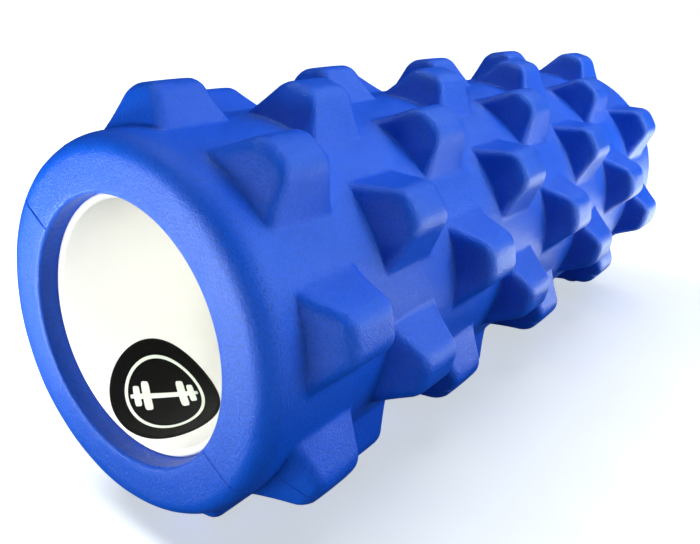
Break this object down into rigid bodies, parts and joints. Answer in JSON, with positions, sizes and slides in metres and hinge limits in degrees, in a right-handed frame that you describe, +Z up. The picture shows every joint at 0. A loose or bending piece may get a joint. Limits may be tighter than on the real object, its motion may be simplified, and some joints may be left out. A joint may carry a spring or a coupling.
{
  "type": "foam roller",
  "caption": "Hollow-core massage roller: blue moulded foam sleeve with staggered pyramid bumps on a stiff white tube, open at both ends.",
  "frame": {"origin": "middle of the tube's bore, half way along the roller", "axes": "+X along the roller, from the labelled end to the other end; +Z up, with the roller lying on two neighbouring lines of bumps"},
  "size_m": [0.33, 0.1388, 0.1388],
  "materials": {
    "blue_foam": "satin moulded closed-cell foam with a fine leathery grain",
    "white_tube": "smooth off-white plastic",
    "black_label": "printed vinyl"
  },
  "bodies": {
    "root": {"foam_shell_upper": "blue_foam", "foam_shell_lower": "blue_foam", "core_tube": "white_tube", "inner_label": "black_label"}
  },
  "joints": []
}
